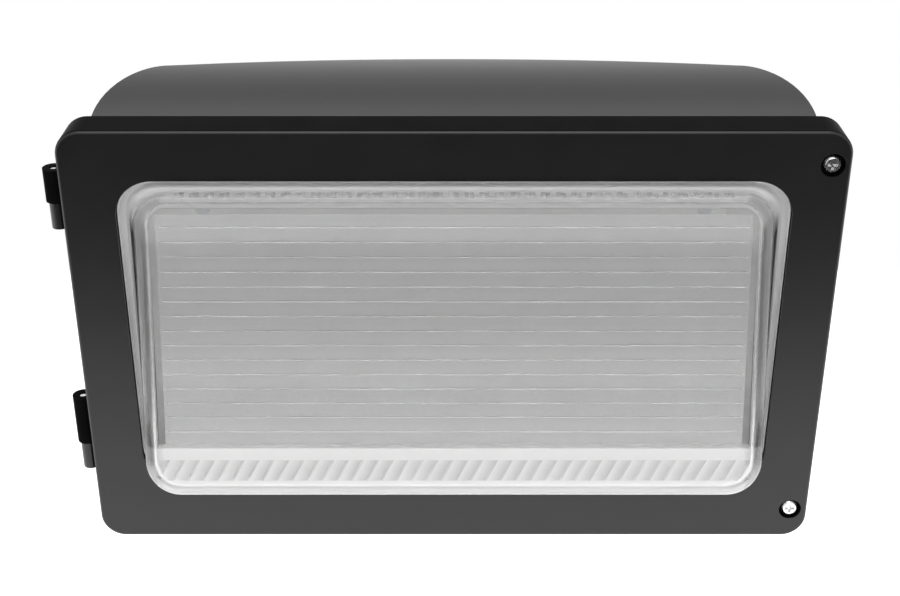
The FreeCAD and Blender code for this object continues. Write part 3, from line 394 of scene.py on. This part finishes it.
def dress_nodes():
    """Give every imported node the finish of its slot; the door and the glass's seal have their own."""
    paints = finishes()
    own = {
        "door_frame": door_coat(frame["nodes"]["door_frame"]),
        "lens_gasket": plain("pale_silicone", (0.80, 0.80, 0.79), 0.45, scale=700.0, spread=0.03),
    }
    for part in frame["record"]["subparts"]:
        node = frame["nodes"][part["node"]]
        paint = own.get(part["node"]) or paints[part["material_slot"]]
        if not node.material_slots:
            node.data.materials.append(paint.material)
        for slot in node.material_slots:
            slot.material = paint.material


# ---------------------------------------------------------------------------
# stage, light and camera
# ---------------------------------------------------------------------------

def add_lamp(name, at, towards, width, depth, power, gloss):
    """A soft rectangular lamp that points at a place and isn't seen."""
    lamp = bpy.data.lights.new(name, "AREA")
    lamp.shape = "RECTANGLE"
    lamp.size = width
    lamp.size_y = depth
    lamp.energy = power
    lamp_object = bpy.data.objects.new(name, lamp)
    bpy.context.scene.collection.objects.link(lamp_object)
    lamp_object.location = at
    lamp_object.rotation_euler = (Vector(towards) - Vector(at)).to_track_quat("-Z", "Y").to_euler()
    lamp_object.visible_camera = False
    lamp_object.visible_glossy = gloss


def rays(tree, *kinds):
    """1 for rays of the given kinds and 0 for all others."""
    path = tree.nodes.new("ShaderNodeLightPath")
    chosen = path.outputs[kinds[0]]
    for kind in kinds[1:]:
        most = tree.nodes.new("ShaderNodeMath")
        most.operation = "MAXIMUM"
        tree.links.new(chosen, most.inputs[0])
        tree.links.new(path.outputs[kind], most.inputs[1])
        chosen = most.outputs[0]
    return chosen


def flat_piece(name, left, right, front, back, height, paint):
    """A flat rectangle for the stage."""
    mesh = bpy.data.meshes.new(name)
    mesh.from_pydata([
        (left, front, height), (right, front, height), (right, back, height), (left, back, height),
    ], [], [(0, 1, 2, 3)])
    mesh.materials.append(paint.material)
    piece = bpy.data.objects.new(name, mesh)
    bpy.context.scene.collection.objects.link(piece)


def make_floor():
    """A large pale floor under the light: white where it is seen, with the light's shadow on it."""
    half = FLOOR_SIZE / 2
    paint = Paint("pale_floor").set(Base_Color=FLOOR_COLOUR, Roughness=STAGE_ROUGH, Emission_Color=WHITE)
    seen = rays(paint.material.node_tree, CAMERA_RAY, GLOSSY_RAY, CLEAR_RAY)
    paint.feed("Emission Strength", paint.times(seen, FLOOR_GLOW))
    flat_piece("floor", -half, half, -half, half, FLOOR_Z, paint)


def make_card():
    """A card low in front, outside the view: pale as the floor, and dark in gloss for the coat's fade."""
    paint = Paint("front_card").set(Roughness=STAGE_ROUGH, Emission_Color=WHITE)
    glossy = rays(paint.material.node_tree, GLOSSY_RAY)
    seen = rays(paint.material.node_tree, CAMERA_RAY, CLEAR_RAY)
    paint.feed("Base Color", paint.blend(glossy, FLOOR_COLOUR, CARD_COLOUR, MASK_REACH))
    paint.feed("Emission Strength", paint.times(seen, FLOOR_GLOW))
    flat_piece("front_card", -CARD_HALF, CARD_HALF, CARD_TO, CARD_FROM, CARD_Z, paint)


def make_world():
    """Even pale surroundings: white where they are seen, dimmer as a light."""
    world = bpy.data.worlds.new("studio")
    world.use_nodes = True
    bpy.context.scene.world = world
    nodes = world.node_tree.nodes
    links = world.node_tree.links
    nodes.clear()
    mix = nodes.new("ShaderNodeMixShader")
    links.new(rays(world.node_tree, CAMERA_RAY, GLOSSY_RAY, CLEAR_RAY), mix.inputs["Fac"])
    for place, strength in ((1, WORLD_GLOW), (2, 1.0)):
        glow = nodes.new("ShaderNodeBackground")
        glow.inputs["Color"].default_value = WHITE
        glow.inputs["Strength"].default_value = strength
        links.new(glow.outputs[0], mix.inputs[place])
    out = nodes.new("ShaderNodeOutputWorld")
    links.new(mix.outputs[0], out.inputs["Surface"])


def make_camera():
    """The photograph's view."""
    camera = bpy.data.cameras.new("camera")
    camera.lens = CAMERA_LENS
    camera.sensor_width = SENSOR
    camera_object = bpy.data.objects.new("camera", camera)
    bpy.context.scene.collection.objects.link(camera_object)
    camera_object.location = CAMERA_AT
    camera_object.rotation_euler = (math.radians(90 + CAMERA_PITCH), 0, 0)
    bpy.context.scene.camera = camera_object


bpy.context.scene.view_settings.view_transform = "Standard"
make_camera()
dress_nodes()
make_floor()
make_card()
make_world()
for lamp_row in LAMPS:
    add_lamp(*lamp_row)
